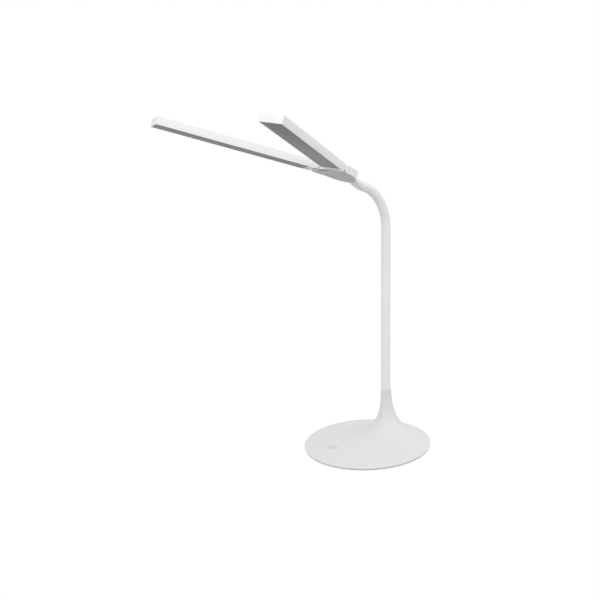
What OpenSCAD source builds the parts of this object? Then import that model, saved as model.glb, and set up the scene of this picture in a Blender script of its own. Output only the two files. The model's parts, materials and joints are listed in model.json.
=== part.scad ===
// Folding desk lamp: a weighted round base with a trumpet-shaped stem, a bendable neck
// and a flat head with two light bars that fold on barrel hinges.
// Millimetres, +Z up. The origin is the middle of the underside of the base, and the
// front of the base, where the touch symbol is, points along -Y.

/* [Base] */
// Radius of the round base
base_r = 80; // [70:1:95]
// Height of the rim above the desk
rim_h = 4; // [3:0.1:4.6]
// Gap between the desk and the lower edge of the rim
rim_gap = 0.5; // [0.3:0.1:0.7]
// Rounding of the rim's upper edge
rim_round = 1; // [0.5:0.1:1.4]
// Distance from the middle of the base back to the stem
stem_back = 29.5; // [20:0.5:34]
// Height of the stem's top
stem_h = 70.8; // [60:0.2:85]
// Outer radius of the stem's top
stem_r = 6.5; // [6.5:0.1:9]
// How far the stem stays slim below its top, as a length of the flare's curve
flare_drop = 49.5; // [35:0.5:52]
// How far the flare reaches in from the rim, as a length of the flare's curve
flare_reach = 57.5; // [45:0.5:62]
// Rise of the base's top surface for each millimetre in from the rim
rim_slope = 0.115; // [0.08:0.005:0.16]
// How quickly the rings of the flare centre on the stem
flare_shift = 2.3; // [1.6:0.1:2.4]
// Wall of the base cover
cover_wall = 1.6; // [1.2:0.1:2]
// Thickness of the foam pad under the base
pad_t = 0.8; // [0.6:0.1:1.2]
// Thickness of the steel base plate
plate_t = 1.0; // [0.8:0.1:1.2]
// Radius of the ballast
ballast_r = 44; // [38:0.5:46]
// Thickness of the ballast
ballast_t = 3.8; // [3:0.1:4.2]

/* [Touch switch] */
// Distance from the middle of the base forward to the touch symbol
icon_front = 47.3; // [40:0.5:52]
// Outer radius of the touch symbol
icon_r = 4.7; // [3.5:0.1:6]
// Width of the touch symbol's line
icon_line = 0.6; // [0.4:0.05:1]
// Radius of the touch electrode
touch_r = 6.5; // [5:0.1:8]

/* [Power] */
// Turn of the charging inlet from the rear of the base, towards the left side
inlet_turn = 60; // [45:1:75]
// How far the charging inlet lies in from the rim
inlet_in = 21; // [19:0.5:24]
// Width of the charging inlet
inlet_w = 8.9; // [7.5:0.1:9]
// Height of the charging inlet
inlet_h = 3.2; // [2.6:0.1:3.3]
// Length of the flat battery cell
battery_l = 40; // [32:0.5:41]
// Width of the flat battery cell
battery_w = 26; // [20:0.5:27]

/* [Neck] */
// Outer radius of the soft sleeve
sleeve_r = 5.7; // [5.3:0.05:6]
// Inner radius of the soft sleeve
sleeve_bore_r = 4.9; // [4.85:0.05:5]
// Outer radius of the steel core
core_r = 4.4; // [4.2:0.05:4.4]
// Inner radius of the steel core
core_bore_r = 2.1; // [1.9:0.05:2.2]
// Radius of the neck's cable
cable_r = 1.5; // [1.2:0.05:1.6]
// Turn of the neck and head from the front of the base, towards the right side
head_turn = 23; // [0:1:60]
// Backward lean of the long straight stretch, in degrees
lean = 3.5; // [2:0.1:6]
// Length of the straight stretch above the lean
straight_l = 193.6; // [160:0.4:240]
// Radius of the bend below the head
bend_r = 54.3; // [46:0.1:70]
// Angle of the head from upright
head_tilt = 68.9; // [50:0.1:80]

/* [Hub] */
// Height of the bars' underside above the neck's axis
hub_lift = 1.0; // [0.5:0.1:3]
// Distance from the end of the bend to the hinge pins, along the head
pin_out = 76.4; // [72:0.2:84]
// Distance from the middle of the head to the middle of each hinge
pin_side = 17; // [16.6:0.1:19]
// Half of the hub's width
hub_half_w = 27.5; // [26.5:0.1:30]
// Distance from the end of the bend to the rear end of the hub
hub_rear = 25; // [22:0.5:30]
// Wall of the hub shell
hub_wall = 1.6; // [1.2:0.1:1.8]
// Thickness of the hub's lower cover
lid_t = 1.4; // [1.2:0.1:1.6]
// Outer radius of the hub's tail round the neck's end
tail_r = 5.9; // [5.8:0.1:7]

/* [Light bars] */
// Half of the angle between the two bars
bar_spread = 23.9; // [20:0.1:28]
// Width of a bar
bar_w = 25; // [24:0.5:28]
// Thickness of a bar
bar_t = 9; // [9:0.1:10]
// Distance from the hinge pin to the tip of the bar
bar_l = 186; // [140:1:220]
// Distance from the hinge pin to the light panel
panel_start = 8; // [7.6:0.1:12]
// White lip round the light panel
panel_lip = 1.2; // [1:0.1:1.6]
// Thickness of the light panel
panel_t = 1.5; // [1:0.1:1.8]
// How deep the light panel sits behind the lip
panel_recess = 0.5; // [0.2:0.1:0.8]
// Top wall of a bar
bar_top = 1.6; // [1.2:0.1:1.8]
// Width of a hinge cheek
cheek_w = 4; // [3:0.1:4.5]
// Radius of a hinge pin
pin_r = 1.2; // [1:0.05:1.4]
// Number of light chips in a bar
led_count = 16; // [10:1:20]

/* [Hidden] */

// Clearances: a part that turns, parts that only face each other, and loose room
run_gap = 0.05;
face_gap = 0.05;
free_gap = 0.3;
// Facets of round solids and of the base cover's rings
$fn = 64;
cover_sides = 48;
flare_steps = 16;

// Levels in the base
rim_d = sqrt(pow(base_r, 2) - pow(stem_back * sin(inlet_turn), 2)) - stem_back * cos(inlet_turn);
inlet_out = rim_d - inlet_in;
plate_top = pad_t + plate_t;
ballast_y = 20;
battery_y = -1;
bay_gap = 1;
boss_r = 3.2;
rim_tuck = 1.1;
boss_ring_r = 36;
boss_turns = [-25, 45, 100, 205];
screw_r = 1.1;
screw_head_r = 2.3;
pilot_gap = 0.02;
board_w = 22;
board_end = inlet_out - 3;
board_l = 22;
board_start = board_end - board_l;
board_t = 1.2;
board_z = plate_top + 1.2;
board_post_r = 2.2;
board_post_x = board_w / 2 - 2.6;
board_post_y = board_start + 5;
inlet_z = board_z + board_t;
inlet_l = 7.3;
plug_h = 6.5;
plug_w = 12.4;
lead_r = 0.5;
corner_gap = 0.15;
corner_grow = 1.15;

// Levels in the stem
web_z = stem_h - 24;
web_t = 4;
collar_t = 1;
collar_l = 12;
collar_wall = 0.35;
ferrule_r = 4.8;
shank_r = 3.95;
nut_t = 4;
nut_r = 5.6;
washer_r = shank_r + 1.3;
washer_t = 0.9;

// The neck bends at eight stations: three along the straight stretch and five in the bend.
// Each is a ball and a socket, and the sections between them are straight.
low_joints = 3;
top_joints = 5;
joint_count = low_joints + top_joints;
lean_r = 120;
foot_l = 2;
ball_r = 3.4;
socket_gap = 0.05;
socket_lip = 0.9;
ball_neck_r = 2.7;
shoulder = 3.1;
arc_gap = 0.02;

// The bend angle at each station and the radius of its arc
function turn_at(k) = k == 1 ? -lean : k <= low_joints ? 0 : (head_tilt + lean) / top_joints;
function radius_at(k) = k <= low_joints ? -lean_r : bend_r;
// The heading after station k, from upright towards the head's side
function heading(k) = k <= 0 ? 0 : heading(k - 1) + turn_at(k);
// How far a turn from heading h0 to h1 at radius r carries the axis, as [forward, up]
function arc_step(h0, h1, r) = r * [cos(h0) - cos(h1), sin(h1) - sin(h0)];
function straight_step(h, l) = l * [sin(h), cos(h)];
// The straight stretch after station k
function straight_at(k) = k == 0 ? foot_l : k <= low_joints ? straight_l / low_joints : 0;
// The middle of the arc at station k, and the end of the arc there
function arc_start(k) = k == 1 ? [0, neck_z] + straight_step(0, foot_l)
    : arc_end(k - 1) + straight_step(heading(k - 1), straight_at(k - 1));
function joint_at(k) = arc_start(k)
    + arc_step(heading(k - 1), heading(k - 1) + turn_at(k) / 2, radius_at(k));
function arc_end(k) = joint_at(k)
    + arc_step(heading(k - 1) + turn_at(k) / 2, heading(k), radius_at(k));
neck_z = stem_h + collar_t + face_gap;

// The hub's own frame: -Y along the head, +Z out of its top
hub_top = hub_lift + bar_t;
hub_mid = hub_lift + bar_t / 2;
hinge_r = bar_t / 2;
knuckle_r = hinge_r - free_gap;
front_gap = hinge_r + free_gap;
knuckle_half = bar_w / 2 - cheek_w - free_gap - face_gap;
shank_back = 1;
tail_l = 30;
tail_taper = 11;
tail_end_r = 3.2;
tail_spread = 2.2;
lid_front = pin_out - 6.6;
lid_slope_from = pin_out - 28;
lid_drop = 2.4;
lid_rim = 1;
lid_top = hub_lift + lid_t;
hub_roof = hub_top - hub_wall;
neck_plate_t = 2.8;
neck_plate_low = hub_lift + 2.6;
neck_plate_l = 12;
post_r = 2.4;
lid_screw_out = pin_out - 12.6;
hub_board_out = pin_out - 31;
wire_r = 0.5;
wire_hole_r = 0.7;
wire_rise = 2.2;
shank_l = 11;
grub_out = 8;
grub_r = 1.5;
cable_end = 23.5;

// A bar's own frame: -Y from the hinge pin to the tip, +Z out of its top
bar_ledge = 0.8;
end_wall = 1.2;
root_wall = 2.5;
led_board_w = 17;
led_board_t = 1;
led_board_gap = 4;
led_size = [3.5, 2.8, 0.7];

white = [0.93, 0.93, 0.925];
soft_white = [0.9, 0.9, 0.9];
warm_gray = [0.47, 0.47, 0.46];
lid_gray = [0.7, 0.71, 0.71];
line_gray = [0.72, 0.72, 0.73];
steel = [0.62, 0.63, 0.65];
brass = [0.75, 0.62, 0.33];
board_green = [0.1, 0.38, 0.22];

// Places

module at_stem() translate([0, stem_back, 0]) children();
module at_neck() at_stem() rotate([0, 0, head_turn]) children();
module at_inlet() at_stem() rotate([0, 0, inlet_turn]) children();
// The frame of station k, whose Z runs along a heading
module at_joint(k, h) at_neck()
    translate([0, -joint_at(k)[0], joint_at(k)[1]]) rotate([h, 0, 0]) children();
module at_hub() at_neck()
    translate([0, -arc_end(joint_count)[0], arc_end(joint_count)[1]])
    rotate([heading(joint_count) - 90, 0, 0]) children();
// side is 1 for the right bar and -1 for the left bar
module at_bar(side) at_hub()
    translate([side * pin_side, -pin_out, hub_mid]) rotate([0, 0, side * bar_spread]) children();
// The touch symbol's place on the slanted top of the base
module at_symbol() translate([0, -icon_front, skin_z(0, -icon_front)])
    rotate([atan((skin_z(0, 1 - icon_front) - skin_z(0, -1 - icon_front)) / 2), 0, 0])
    children();

// Shared shapes

module ring(r_out, r_in, h) difference() {
    cylinder(r = r_out, h = h);
    translate([0, 0, -1]) cylinder(r = r_in, h = h + 2);
}

// A rod between two points
module rod(a, b, r) {
    d = b - a;
    l = norm(d);
    translate(a) rotate([0, acos(d[2] / l), atan2(d[1], d[0])]) cylinder(r = r, h = l, $fn = 24);
}

// A wire through a list of points, whose corners are small joints of solder and sleeve
module wire(points, r) {
    last = len(points) - 1;
    for (i = [1 : last]) {
        step = corner_gap * (points[i] - points[i - 1]) / norm(points[i] - points[i - 1]);
        rod(points[i - 1] + (i > 1 ? step : 0 * step), points[i] - (i < last ? step : 0 * step), r);
    }
    if (last > 1)
        for (i = [1 : last - 1]) translate(points[i]) sphere(r = corner_grow * r, $fn = 24);
}

// A pan-head screw that points up, with the underside of its head at z = 0
module pan_screw(l, r, head_r, head_t) {
    cylinder(r = r, h = l);
    translate([0, 0, -head_t]) cylinder(r = head_r, h = head_t);
}

// Base cover

// The outline of the stem and flare runs along a curve of four points
flare_low = rim_h + rim_slope * flare_reach;
function bezier(a, b, c, d, t) = pow(1 - t, 3) * a + 3 * pow(1 - t, 2) * t * b
    + 3 * (1 - t) * t * t * c + pow(t, 3) * d;
flare_end_r = base_r - rim_round;
function flare(t) = bezier([stem_r, stem_h], [stem_r + 0.3, stem_h - flare_drop],
    [base_r - flare_reach, flare_low], [flare_end_r, rim_h], t);
function flare_dir(t) = flare(min(1, t + 0.01)) - flare(max(0, t - 0.01));
// The inward normal of that curve, and the same curve one wall inside it
function flare_in(t) = let (d = flare_dir(t)) [d[1], -d[0]] / norm(d);
function inner(t) = let (p = flare(t) + cover_wall * flare_in(t))
    [max(p[0], stem_bore_r), max(p[1], plate_top + face_gap)];
// The middle of a ring of radius r lies between the stem's axis and the base's
function ring_y(r) =
    stem_back * (1 - pow(max(0, r - stem_r) / (flare_end_r - stem_r), flare_shift));
// The curve's parameter at the ring that passes through a point
function ring_t(x, y, lo = 0, hi = 1, n = 24) = let (t = (lo + hi) / 2)
    n == 0 ? t : norm([x, y - ring_y(flare(t)[0])]) > flare(t)[0]
        ? ring_t(x, y, t, hi, n - 1) : ring_t(x, y, lo, t, n - 1);
// The height of the top surface at a point
function skin_z(x, y) = flare(ring_t(x, y))[1];

stem_bore_r = ferrule_r + run_gap + collar_wall + pilot_gap;
rim_in_r = base_r - cover_wall;
// The closed outline of the shell as [radius, height, middle of the ring]
inner_top_t = 0.15;
shell_outline = concat(
    [[stem_bore_r, stem_h, stem_back]],
    [for (i = [0 : flare_steps]) let (p = flare(i / flare_steps)) [p[0], p[1], ring_y(p[0])]],
    [for (a = [60, 30, 0]) [flare_end_r + rim_round * cos(a),
        rim_h - rim_round + rim_round * sin(a), 0]],
    [[base_r - rim_tuck, rim_gap, 0], [rim_in_r, rim_gap, 0], [rim_in_r, plate_top + face_gap, 0]],
    [for (i = [flare_steps - 1 : -1 : 0])
        let (t = inner_top_t + (1 - inner_top_t) * i / flare_steps, p = inner(t))
        [p[0], min(p[1], web_z), ring_y(flare(t)[0])]],
    [[shank_r + run_gap, web_z, stem_back], [shank_r + run_gap, web_z + web_t, stem_back],
        [stem_bore_r, web_z + web_t, stem_back]]);

module cover_shell() {
    rings = len(shell_outline);
    points = [for (p = shell_outline) for (s = [0 : cover_sides - 1])
        let (a = 360 * s / cover_sides) [p[0] * sin(a), p[2] - p[0] * cos(a), p[1]]];
    faces = [for (i = [0 : rings - 1]) for (s = [0 : cover_sides - 1])
        let (j = (i + 1) % rings, q = (s + 1) % cover_sides,
            a = i * cover_sides + s, b = i * cover_sides + q,
            c = j * cover_sides + q, d = j * cover_sides + s)
        each [[a, b, c], [a, c, d]]];
    polyhedron(points = points, faces = faces);
}

module symbol_outline(grow) {
    difference() {
        circle(r = icon_r + grow);
        circle(r = icon_r - icon_line - grow);
        translate([0, icon_r]) square([3 * icon_line - 2 * grow, icon_r], center = true);
    }
    translate([-icon_line / 2 - grow, 1 - grow]) square([icon_line + 2 * grow, icon_r - 1.4 + 2 * grow]);
}
symbol_t = 0.3;

boss_places = [for (a = boss_turns)
    [boss_ring_r * cos(a), ballast_y + boss_ring_r * sin(a)]];
board_post_z = 12;
// A boss ends inside the skin at the lowest place over it
function boss_top(p) = min([for (a = [0 : 45 : 315])
    skin_z(p[0] + boss_r * cos(a), p[1] + boss_r * sin(a))]) - cover_wall * 0.4;

// The block under the skin that holds the inlet and the groove for the charging plug
inlet_wall = 1.8;
block_w = plug_w + 2 * inlet_wall;
block_in = inlet_out - inlet_wall;
block_out = rim_d - 2;
block_sink = 0.6;
// The lowest height of the skin across the block, at a distance from the stem's axis
function block_z(d) = min([for (x = [-block_w / 2, 0, block_w / 2])
    let (a = inlet_turn) skin_z(x * cos(a) - d * sin(a), stem_back + x * sin(a) + d * cos(a))])
    - block_sink;
module inlet_block() rotate([90, 0, 90]) linear_extrude(block_w, center = true) polygon(concat(
    [for (i = [0 : 5]) let (d = block_in + (block_out - block_in) * i / 5) [d, block_z(d)]],
    [[block_out, plate_top + face_gap], [block_in, plate_top + face_gap]]));

module base_cover() color(white) difference() {
    union() {
        cover_shell();
        for (p = boss_places) translate([p[0], p[1], plate_top + face_gap])
            cylinder(r = boss_r, h = boss_top(p) - plate_top - face_gap);
        at_inlet() for (x = [-1, 1]) translate([x * board_post_x, board_post_y, inlet_z])
            cylinder(r = board_post_r, h = board_post_z);
        at_inlet() inlet_block();
    }
    for (p = boss_places) translate([p[0], p[1], 0]) cylinder(r = screw_r + pilot_gap, h = 6.5);
    at_inlet() for (x = [-1, 1]) translate([x * board_post_x, board_post_y, 0])
        cylinder(r = screw_r + pilot_gap, h = inlet_z + 5);
    at_inlet() plug_room();
    at_symbol() translate([0, 0, -symbol_t])
        linear_extrude(2) symbol_outline(face_gap);
}

// The inlet's hole in the block, and the groove where the body of the charging plug lies
module plug_room() {
    translate([0, inlet_out + 0.5, inlet_z + inlet_h / 2]) rotate([90, 0, 0])
        linear_extrude(inlet_wall + 1) stadium(inlet_w + 2 * free_gap, inlet_h + 2 * free_gap);
    translate([-plug_w / 2, inlet_out, inlet_z + inlet_h / 2 - plug_h / 2])
        cube([plug_w, inlet_in + plug_w, rim_h + stem_h]);
}

module touch_symbol() color(line_gray) at_symbol() translate([0, 0, face_gap - symbol_t])
    linear_extrude(symbol_t - face_gap) symbol_outline(0);

module touch_pad() color("peru") at_symbol() translate([0, 0, -cover_wall - 0.55])
    cylinder(r = touch_r, h = 0.35);

// The touch lead lies in a groove of the ballast and runs back over it and the cell to the board
lead_z = plate_top + ballast_t + face_gap + lead_r + 0.2;
touch_lead_low = skin_z(0, -icon_front) - cover_wall - 0.55 - lead_r - 2 * face_gap;
lead_pitch = 2.5;
lead_x = battery_l / 4;
ballast_front = ballast_y - ballast_r;
groove_from = [-lead_x + lead_pitch, ballast_front - 3, plate_top + 0.76 * ballast_t];
groove_to = [-lead_x, battery_y - battery_w / 2, lead_z];
module touch_lead() color("gold") wire([[-icon_r + lead_pitch / 2, 1 - icon_front, touch_lead_low],
    groove_from, groove_to, [-lead_x - 2 * lead_pitch, battery_y + battery_w / 3, lead_z],
    board_point(-2.6 * lead_pitch, 2)], lead_r);
// A place over the board, across it and on from its near edge
function board_point(x, d) = let (a = inlet_turn, l = board_start + d)
    [x * cos(a) - l * sin(a), stem_back + x * sin(a) + l * cos(a), lead_z];

module foot_pad() color([0.3, 0.3, 0.31]) cylinder(r = base_r - 6, h = pad_t - face_gap);

module base_plate() color(soft_white) difference() {
    translate([0, 0, pad_t]) cylinder(r = rim_in_r - 0.2, h = plate_t);
    for (p = boss_places) translate([p[0], p[1], pad_t + face_gap]) {
        cylinder(r1 = screw_head_r + pilot_gap, r2 = screw_r + pilot_gap, h = plate_t);
        translate([0, 0, -1]) cylinder(r = screw_head_r + pilot_gap, h = 1);
    }
}

module base_screws() color(steel) for (p = boss_places) translate([p[0], p[1], pad_t + face_gap]) {
    cylinder(r1 = screw_head_r, r2 = screw_r, h = plate_t);
    cylinder(r = screw_r, h = 5);
}

module ballast() color([0.35, 0.35, 0.36]) difference() {
    translate([0, ballast_y, plate_top + face_gap]) cylinder(r = ballast_r, h = ballast_t);
    translate([0, battery_y, plate_top])
        cube([battery_l + 2 * bay_gap, battery_w + 2 * bay_gap, 12], center = true);
    at_stem() cylinder(r = 12, h = 12);
    at_inlet() translate([-board_w / 2 - bay_gap, 0, 0]) cube([board_w + 2 * bay_gap, 60, 12]);
    for (p = boss_places) translate([p[0], p[1], 0]) cylinder(r = boss_r + free_gap, h = 12);
    rod(groove_from, groove_to, lead_r + free_gap);
}

battery_t = 3.8;
battery_z = plate_top + face_gap + battery_t / 2;
module battery_cell() color([0.75, 0.76, 0.78]) translate([0, battery_y, battery_z])
    cube([battery_l, battery_w, battery_t], center = true);

// The cell's two wires leave its rear edge and run over the ballast to the board
module battery_lead() color("firebrick") {
    for (i = [0, 1]) rod([-lead_x - (1 - i) * lead_pitch, battery_y + battery_w / 3, lead_z],
        board_point((0.6 + 1.6 * i) * lead_pitch, 4), lead_r);
}

module control_board() color(board_green) at_inlet() difference() {
    translate([-board_w / 2, board_start, board_z])
        cube([board_w, board_end - board_start, board_t]);
    for (x = [-1, 1]) translate([x * board_post_x, board_post_y, 0])
        cylinder(r = screw_r + 0.15, h = 12);
}

module board_components() color([0.12, 0.12, 0.13]) at_inlet()
    for (c = [[-2.5, 9.5, 5, 5, 1], [-9, 12, 3, 4, 1.4], [5.5, 12, 4, 3, 1.4]])
        translate([c[0], board_start + c[1], inlet_z]) cube([c[2], c[3], c[4]]);

module board_screws() color(steel) at_inlet() for (x = [-1, 1])
    translate([x * board_post_x, board_post_y, board_z]) pan_screw(5, screw_r, 2, 0.9);

module charging_inlet() color(steel) at_inlet()
    translate([0, inlet_out - 0.5, inlet_z + inlet_h / 2]) rotate([90, 0, 0]) difference() {
        linear_extrude(inlet_l) stadium(inlet_w, inlet_h);
        translate([0, 0, -1]) linear_extrude(inlet_l) stadium(inlet_w - 0.6, inlet_h - 0.6);
    }

module stadium(w, h) {
    square([w - h, h], center = true);
    for (x = [-1, 1]) translate([x * (w - h) / 2, 0]) circle(d = h);
}

// Stem joint

module stem_collar() color(white) at_stem() translate([0, 0, stem_h]) rotate_extrude() {
    collar_in = ferrule_r + run_gap;
    translate([collar_in, 0]) square([stem_r - collar_in, collar_t]);
    translate([collar_in, -collar_l]) square([collar_wall, collar_l + collar_t / 2]);
}

module spring_washer() color(steel) at_stem()
    translate([0, 0, web_z - washer_t - face_gap]) ring(washer_r, shank_r + run_gap, washer_t);

nut_z = web_z - washer_t - 2 * face_gap - nut_t;
module neck_nut() color(brass) at_neck() translate([0, 0, nut_z]) difference() {
    cylinder(r = nut_r, h = nut_t, $fn = 6);
    translate([0, 0, -1]) cylinder(r = shank_r + pilot_gap, h = nut_t + 2);
}

// Neck core: balls and sockets

// The ball at the top of a section whose axis ends at the origin
module ball_end() difference() {
    union() {
        sphere(r = ball_r);
        translate([0, 0, -shoulder - 1]) cylinder(r = ball_neck_r, h = shoulder + 1);
    }
    translate([0, 0, -shoulder - 2]) cylinder(r = core_bore_r, h = shoulder + 3);
    cylinder(r1 = core_bore_r, r2 = core_bore_r + 1.1, h = ball_r);
}

// A tube from the socket at the origin up to a length
module socket_tube(l, r) difference() {
    translate([0, 0, -socket_lip]) cylinder(r = r, h = l + socket_lip);
    sphere(r = ball_r + socket_gap);
    translate([0, 0, -socket_lip - 1]) cylinder(r = ball_r, h = 1.01);
    cylinder(r = core_bore_r, h = l + 1);
}

// The section between stations k and k + 1
function section_dir(k) = joint_at(k + 1) - joint_at(k);
module neck_core(k) color(steel) {
    l = norm(section_dir(k));
    at_joint(k, atan2(section_dir(k)[0], section_dir(k)[1])) {
        socket_tube(l - shoulder, core_r);
        translate([0, 0, l]) ball_end();
    }
}

module lower_ferrule() color(steel) {
    foot = joint_at(1)[1] - shoulder;
    seat = web_z + web_t + face_gap;
    at_neck() difference() {
        union() {
            translate([0, 0, nut_z - 2]) cylinder(r = shank_r, h = seat - nut_z + 3);
            translate([0, 0, seat]) cylinder(r = ferrule_r, h = neck_z - seat);
            translate([0, 0, neck_z - 0.5]) cylinder(r = core_r, h = foot - neck_z + 0.5);
        }
        translate([0, 0, nut_z - 3]) cylinder(r = core_bore_r, h = 60);
    }
    at_joint(1, 0) ball_end();
}

module upper_ferrule() color(steel) {
    at_joint(joint_count, heading(joint_count))
        socket_tube(norm(arc_end(joint_count) - joint_at(joint_count)) - shank_back + 0.3, core_r);
    at_hub() rotate([90, 0, 0]) difference() {
        translate([0, 0, -shank_back]) cylinder(r = core_r + 0.2, h = shank_l + shank_back);
        translate([0, 0, -2 * shank_back]) cylinder(r = core_bore_r, h = 2 * shank_l);
        translate([0, 0, grub_out]) rotate([-90, 0, 0])
            translate([0, 0, core_r - 0.6]) cylinder(r = grub_r + pilot_gap, h = 2);
    }
}

// The set screw that holds the hub on the neck, from the top of the tail
module tail_screw() color(steel) at_hub() translate([0, -grub_out, core_r - 0.6 + pilot_gap])
    difference() {
        cylinder(r = grub_r, h = tail_r - core_r + 0.4);
        translate([0, 0, tail_r - core_r - 0.6]) cylinder(r = 0.75, h = 2, $fn = 6);
    }

// Neck sleeve and cable: arcs at the stations and straight stretches between them

// A bend that starts at the origin, heading up, and turns by a at radius r; it turns to the
// back where the angle is negative
module arc_tube(a, r, r_out, r_in) {
    mirror([0, a < 0 ? 1 : 0, 0]) translate([0, -r, 0]) rotate([90, 0, 90])
        rotate_extrude(angle = abs(a) - arc_gap) translate([r, 0]) difference() {
            circle(r = r_out);
            if (r_in > 0) circle(r = r_in);
        }
}

module stretch(z, r_out, r_in, l) translate([0, 0, z]) difference() {
    cylinder(r = r_out, h = l);
    if (r_in > 0) translate([0, 0, -1]) cylinder(r = r_in, h = l + 2);
}

// A frame on the neck's axis at a point, given as [forward, up], and a heading
module at_path(p, h) at_neck() translate([0, -p[0], p[1]]) rotate([h, 0, 0]) children();

// The neck's tube from station k to the next one
module neck_piece(k, r_out, r_in) {
    if (k == 0) at_path(arc_start(1), 0) {
        stretch(-foot_l, r_out, r_in, foot_l);
        arc_tube(turn_at(1), lean_r, r_out, r_in);
    }
    else if (k < low_joints) at_path(arc_end(k), heading(k))
        stretch(0, r_out, r_in, straight_at(k));
    else if (k == low_joints) at_path(arc_start(k + 1), heading(k)) {
        stretch(-straight_at(k), r_out, r_in, straight_at(k));
        arc_tube(turn_at(k + 1) / 2, bend_r, r_out, r_in);
    }
    else at_path(joint_at(k), heading(k - 1) + turn_at(k) / 2)
        arc_tube(turn_at(k) * (k < joint_count ? 1 : 0.5), bend_r, r_out, r_in);
}

module neck_sleeve(k) color(soft_white) neck_piece(k, sleeve_r, sleeve_bore_r);

// The cable rises from the board through the core to the hub. Its stretches meet in short
// strain sleeves that are a little thicker than the cable.
cable_low = 12;
cable_bend = 6;
module cable_joint() sphere(r = corner_grow * cable_r, $fn = 32);
module neck_cable() color([0.2, 0.2, 0.21]) {
    g = corner_gap;
    bend = head_tilt + lean;
    at_stem() translate([0, 0, cable_low + g])
        cylinder(r = cable_r, h = neck_z + foot_l - cable_low - 2 * g);
    at_path(arc_start(1), 0) {
        cable_joint();
        translate([0, 0, 0]) arc_tube(-lean, lean_r, cable_r, 0);
    }
    at_path(arc_end(1), -lean) {
        cable_joint();
        stretch(g, cable_r, 0, straight_l - 2 * g);
    }
    at_path(arc_start(low_joints + 1), -lean) {
        cable_joint();
        arc_tube(bend, bend_r, cable_r, 0);
    }
    at_hub() {
        cable_joint();
        rotate([90, 0, 0]) translate([0, 0, g]) cylinder(r = cable_r, h = cable_end - g);
    }
    at_inlet() translate([0, 0, cable_low]) {
        cable_joint();
        rotate([90, 0, -90]) translate([-cable_bend, 0, 0]) rotate([0, 0, -90 + 2])
            rotate_extrude(angle = 90 - 4) translate([cable_bend, 0]) circle(r = cable_r);
    }
}

// Hub: its outline is half an ellipse that the front faces of the two hinges cut off

hub_mid_in = 1.1;
hub_mid_out = pin_out - hub_mid_in;
module hub_outline(inset) difference() {
    translate([0, -hub_mid_out]) difference() {
        polygon([for (i = [0 : 48]) let (a = 180 * i / 48)
            [(hub_half_w - inset) * cos(a), (hub_mid_out - hub_rear - inset) * sin(a)],
            [inset - hub_half_w, -12], [hub_half_w - inset, -12]]);
    }
    for (s = [-1, 1]) translate([s * pin_side, -pin_out]) rotate(s * bar_spread)
        translate([-40, -60]) square([80, 60 + front_gap + inset]);
}

// The hub's side view, whose underside drops towards the tail
module side_band(low, high, front) rotate([90, 0, 90])
    linear_extrude(2 * hub_half_w + 4, center = true)
    polygon([[-front, low], [-lid_slope_from, low], [-hub_rear + 2, low - lid_drop],
        [-hub_rear + 2, high], [-front, high]]);

module hub_block(inset, low, high) intersection() {
    translate([0, 0, -20]) linear_extrude(50) hub_outline(inset);
    side_band(low, high, pin_out + 20);
}

// The tail: a tube around the end of the neck that widens and runs out under the lid's rear
module hub_tail(grow) {
    rotate([90, 0, 0]) translate([0, 0, face_gap]) cylinder(r = tail_r + grow, h = tail_taper - face_gap);
    hull() {
        rotate([90, 0, 0]) translate([0, 0, tail_taper - 1]) cylinder(r = tail_r + grow, h = 1);
        translate([0, -tail_l - grow, tail_end_r]) rotate([90, 0, 0])
            scale([tail_spread, 1, 1]) cylinder(r = tail_end_r + grow, h = 1);
    }
}

module hub_shell() color(white) at_hub() difference() {
    union() {
        difference() {
            hub_block(0, hub_lift, hub_top);
            hub_block(hub_wall, hub_lift - 20, hub_roof);
            hub_block(lid_rim - face_gap, hub_lift - 20, lid_top + face_gap);
        }
        intersection() {
            hub_tail(0);
            union() {
                hub_block(0, hub_lift - 20, hub_roof + 1);
                translate([-20, -hub_rear - 3, -20]) cube([40, hub_rear + 20, 40]);
            }
        }
        translate([0, -lid_screw_out, lid_top + face_gap])
            cylinder(r = post_r, h = hub_roof - lid_top);
        for (s = [-1, 1]) hinge_places(s) translate([0, 0, neck_plate_low + neck_plate_t - hub_mid])
            cylinder(r = post_r, h = hub_roof - neck_plate_low - neck_plate_t + 0.5);
        for (x = [-1, 1]) translate([x * 6, -hub_board_out, hub_roof - 2])
            cylinder(r = 1.5, h = 2.5);
    }
    for (s = [-1, 1]) translate([s * pin_side, -pin_out, 0]) rotate(s * bar_spread)
        translate([-knuckle_half - free_gap, 0, lid_top + 0.2])
        cube([2 * (knuckle_half + free_gap), 15, hub_roof - lid_top - 0.2]);
    rotate([90, 0, 0]) translate([0, 0, -10]) cylinder(r = core_r + 0.25, h = shank_l + 10.05);
    rotate([90, 0, 0]) cylinder(r = cable_r + free_gap, h = cable_end + free_gap);
    translate([-3.2, -tail_l - 10, -0.2]) cube([6.4, tail_l + 10.5 - cable_end, 4.6]);
    translate([-9, -tail_l - 10, lid_top + face_gap]) cube([18, 12, hub_roof - lid_top - face_gap]);
    translate([0, -grub_out, 0]) cylinder(r = grub_r + pilot_gap, h = 12);
    translate([0, -lid_screw_out, 0]) cylinder(r = screw_r + pilot_gap, h = hub_roof);
    for (s = [-1, 1]) hinge_places(s) translate([0, 0, -10])
        cylinder(r = screw_r + pilot_gap, h = hub_roof - hub_mid + 10);
    // The pry slots on the two flanks
    for (s = [-1, 1]) translate([s * (hub_half_w - 1), 14.4 - pin_out, hub_lift + 4.4])
        cube([2.2, 1.4, 4], center = true);
}

// The two screw places in the plate of a knuckle
module hinge_places(s) translate([s * pin_side, -pin_out, hub_mid]) rotate([0, 0, s * bar_spread])
    for (x = [-1, 1]) translate([x * (knuckle_half - 2.6), front_gap + 6, 0]) children();

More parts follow.
